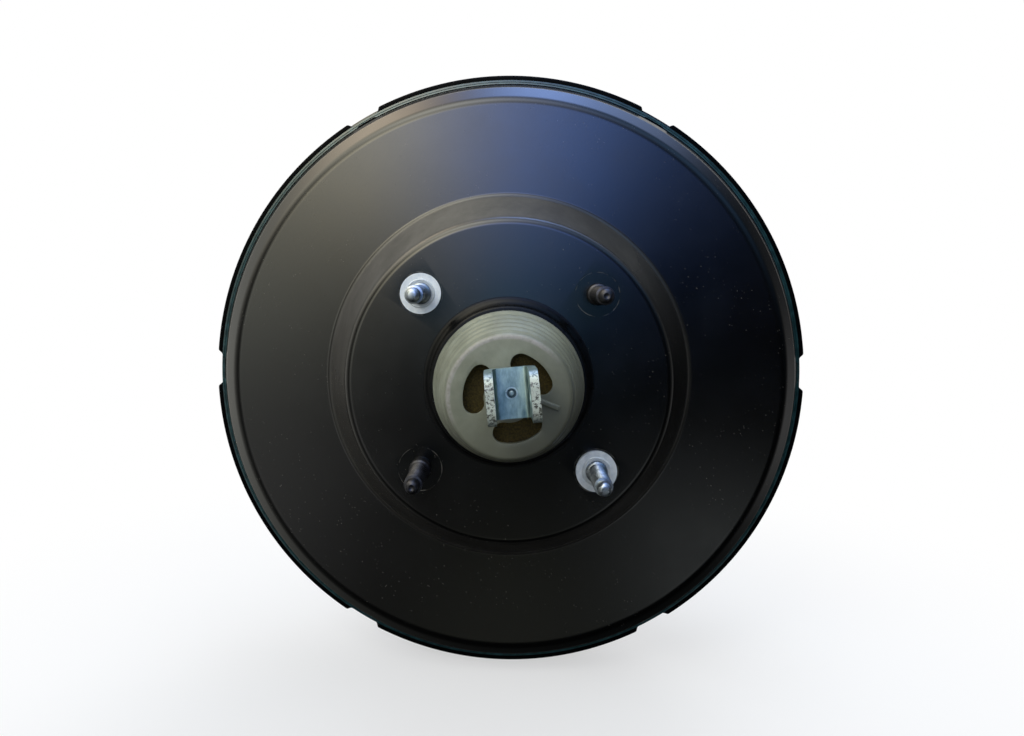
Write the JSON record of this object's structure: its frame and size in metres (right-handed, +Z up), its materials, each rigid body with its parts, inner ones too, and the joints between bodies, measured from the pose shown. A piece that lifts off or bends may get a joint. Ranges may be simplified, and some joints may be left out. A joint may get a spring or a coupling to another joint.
{
  "type": "vacuum brake booster",
  "caption": "Round pressed-steel vacuum brake booster with mounting studs, ringed dust boot, clevis push rod, sliding power piston and check valve with hose nozzle.",
  "frame": {"origin": "centre of the flat face that goes against the firewall, on the booster's axis", "axes": "-Y along the axis to the brake pedal, +Y to the engine and master cylinder, +Z up, +X right as seen from the pedal"},
  "size_m": [0.3, 0.2088, 0.3],
  "materials": {
    "black_paint": "satin",
    "zinc": "zinc plated, semi-matt",
    "white_washer": "pale zinc, matt",
    "black_zinc": "black plated",
    "boot_rubber": "matt grey-green",
    "black_rubber": "matt",
    "filter_foam": "open-cell foam",
    "felt": "felt",
    "nylon": "natural nylon",
    "phenolic": "moulded phenolic",
    "valve_plastic": "moulded nylon",
    "steel": "bare steel",
    "spring_steel": "drawn wire"
  },
  "bodies": {
    "housing": {"rear_shell": "black_paint", "front_shell": "black_paint", "rear_stud_plate": "steel", "front_stud_plate": "steel", "mounting_studs_bright": "zinc", "mounting_studs_black": "black_zinc", "master_cylinder_studs": "zinc", "stud_washers": "white_washer", "check_valve_grommet": "black_rubber", "check_valve_cup": "valve_plastic", "check_valve_cap": "valve_plastic", "check_valve_spring": "spring_steel", "rear_seal": "black_rubber", "rear_bearing": "nylon", "diaphragm": "black_rubber", "return_spring": "spring_steel", "front_seal": "black_rubber", "front_seal_cup": "steel", "dust_boot": "boot_rubber"},
    "power_piston": {"valve_body": "phenolic", "diaphragm_plate": "steel", "reaction_disc": "black_rubber", "output_rod": "zinc", "output_rod_clip": "steel", "stop_key": "steel", "poppet_valve": "black_rubber", "poppet_retainer": "steel", "poppet_spring": "spring_steel", "silencer": "felt", "air_filter": "filter_foam"},
    "control_valve": {"plunger": "steel"},
    "push_rod": {"input_rod": "zinc", "clevis": "zinc", "spring_cup": "steel", "input_return_spring": "spring_steel"},
    "valve_disc": {"check_valve_disc": "black_rubber"}
  },
  "joints": [
    {"name": "piston_slide", "type": "slide", "parent": "housing", "child": "power_piston", "axis": [0, 1, 0], "range_m": [0, 0.028], "stiffness_N_per_m": 2500, "springref_m": -0.05, "deforming": ["return_spring", "diaphragm", "dust_boot"]},
    {"name": "plunger_slide", "type": "slide", "parent": "power_piston", "child": "control_valve", "axis": [0, 1, 0], "range_m": [0, 0.0015], "stiffness_N_per_m": 3000, "springref_m": -0.012, "deforming": ["input_return_spring"]},
    {"name": "rod_tilt", "type": "hinge", "parent": "control_valve", "child": "push_rod", "pos_m": [0, 0.009, 0], "axis": [-1, 0, 0], "range_deg": [-6.5, 0.5]},
    {"name": "check_valve_slide", "type": "slide", "parent": "housing", "child": "valve_disc", "axis": [0, 1, 0], "range_m": [0, 0.0015], "stiffness_N_per_m": 150, "springref_m": -0.003, "deforming": ["check_valve_spring"]}
  ]
}
